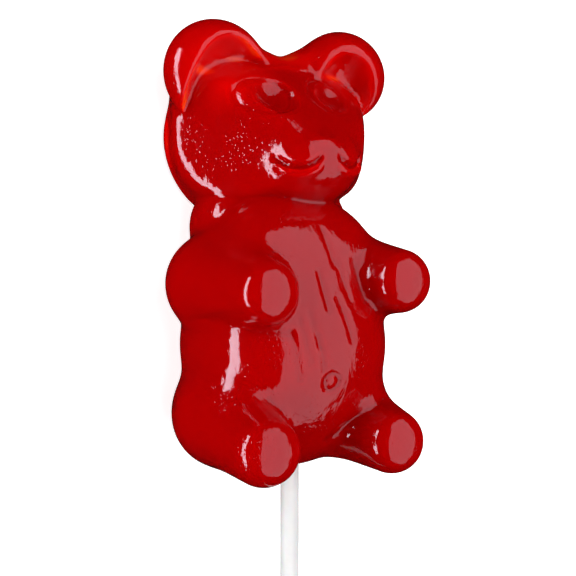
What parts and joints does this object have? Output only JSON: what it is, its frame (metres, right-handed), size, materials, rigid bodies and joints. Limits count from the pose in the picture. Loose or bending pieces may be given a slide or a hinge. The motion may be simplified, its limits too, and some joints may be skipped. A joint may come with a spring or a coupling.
{
  "type": "gummy bear lollipop",
  "caption": "Large moulded fruit-gum bear on a paper stick, sitting pose with round ears, stub paws and smiling face; lies on its flat scraped back.",
  "frame": {"origin": "on the flat back, under the middle of the bear's length and width", "axes": "+Y from the feet to the ears along the stick, +Z out of the belly and the face, +X to the bear's left hand"},
  "size_m": [0.0543, 0.1865, 0.0397],
  "materials": {
    "gum": "glossy translucent red fruit gum",
    "paper": "matt rolled white paper"
  },
  "bodies": {
    "root": {"gummy_bear": "gum", "paper_stick": "paper"}
  },
  "joints": []
}
